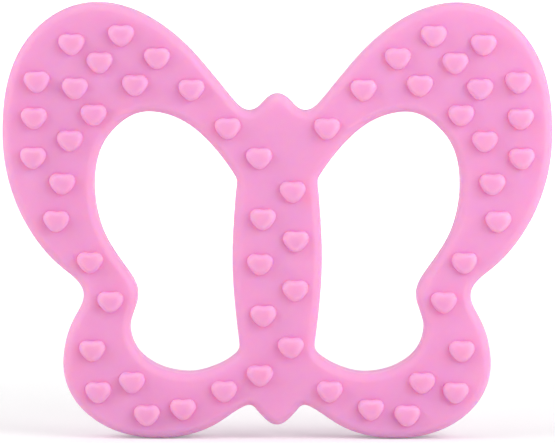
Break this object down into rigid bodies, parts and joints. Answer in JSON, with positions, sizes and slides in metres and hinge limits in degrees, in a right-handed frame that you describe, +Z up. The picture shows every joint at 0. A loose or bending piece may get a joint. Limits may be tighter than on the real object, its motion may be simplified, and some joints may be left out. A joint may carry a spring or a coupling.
{
  "type": "baby teether",
  "caption": "Flat butterfly-shaped silicone teether for a baby, with an open grip in each pair of wings and raised hearts over its front that rub the gums.",
  "frame": {"origin": "on the ground under the middle of the box, where the tips of the lower wings stand", "axes": "+X across the wings to the right of the picture, +Y from the front face with the hearts to the plain back, +Z up from the tail to the head"},
  "size_m": [0.1, 0.0094, 0.0795],
  "materials": {
    "silicone": "satin"
  },
  "bodies": {
    "root": {"body": "silicone", "left_forewing": "silicone", "right_forewing": "silicone", "left_hindwing": "silicone", "right_hindwing": "silicone", "body_hearts": "silicone", "left_forewing_hearts": "silicone", "right_forewing_hearts": "silicone", "left_hindwing_hearts": "silicone", "right_hindwing_hearts": "silicone"}
  },
  "joints": []
}
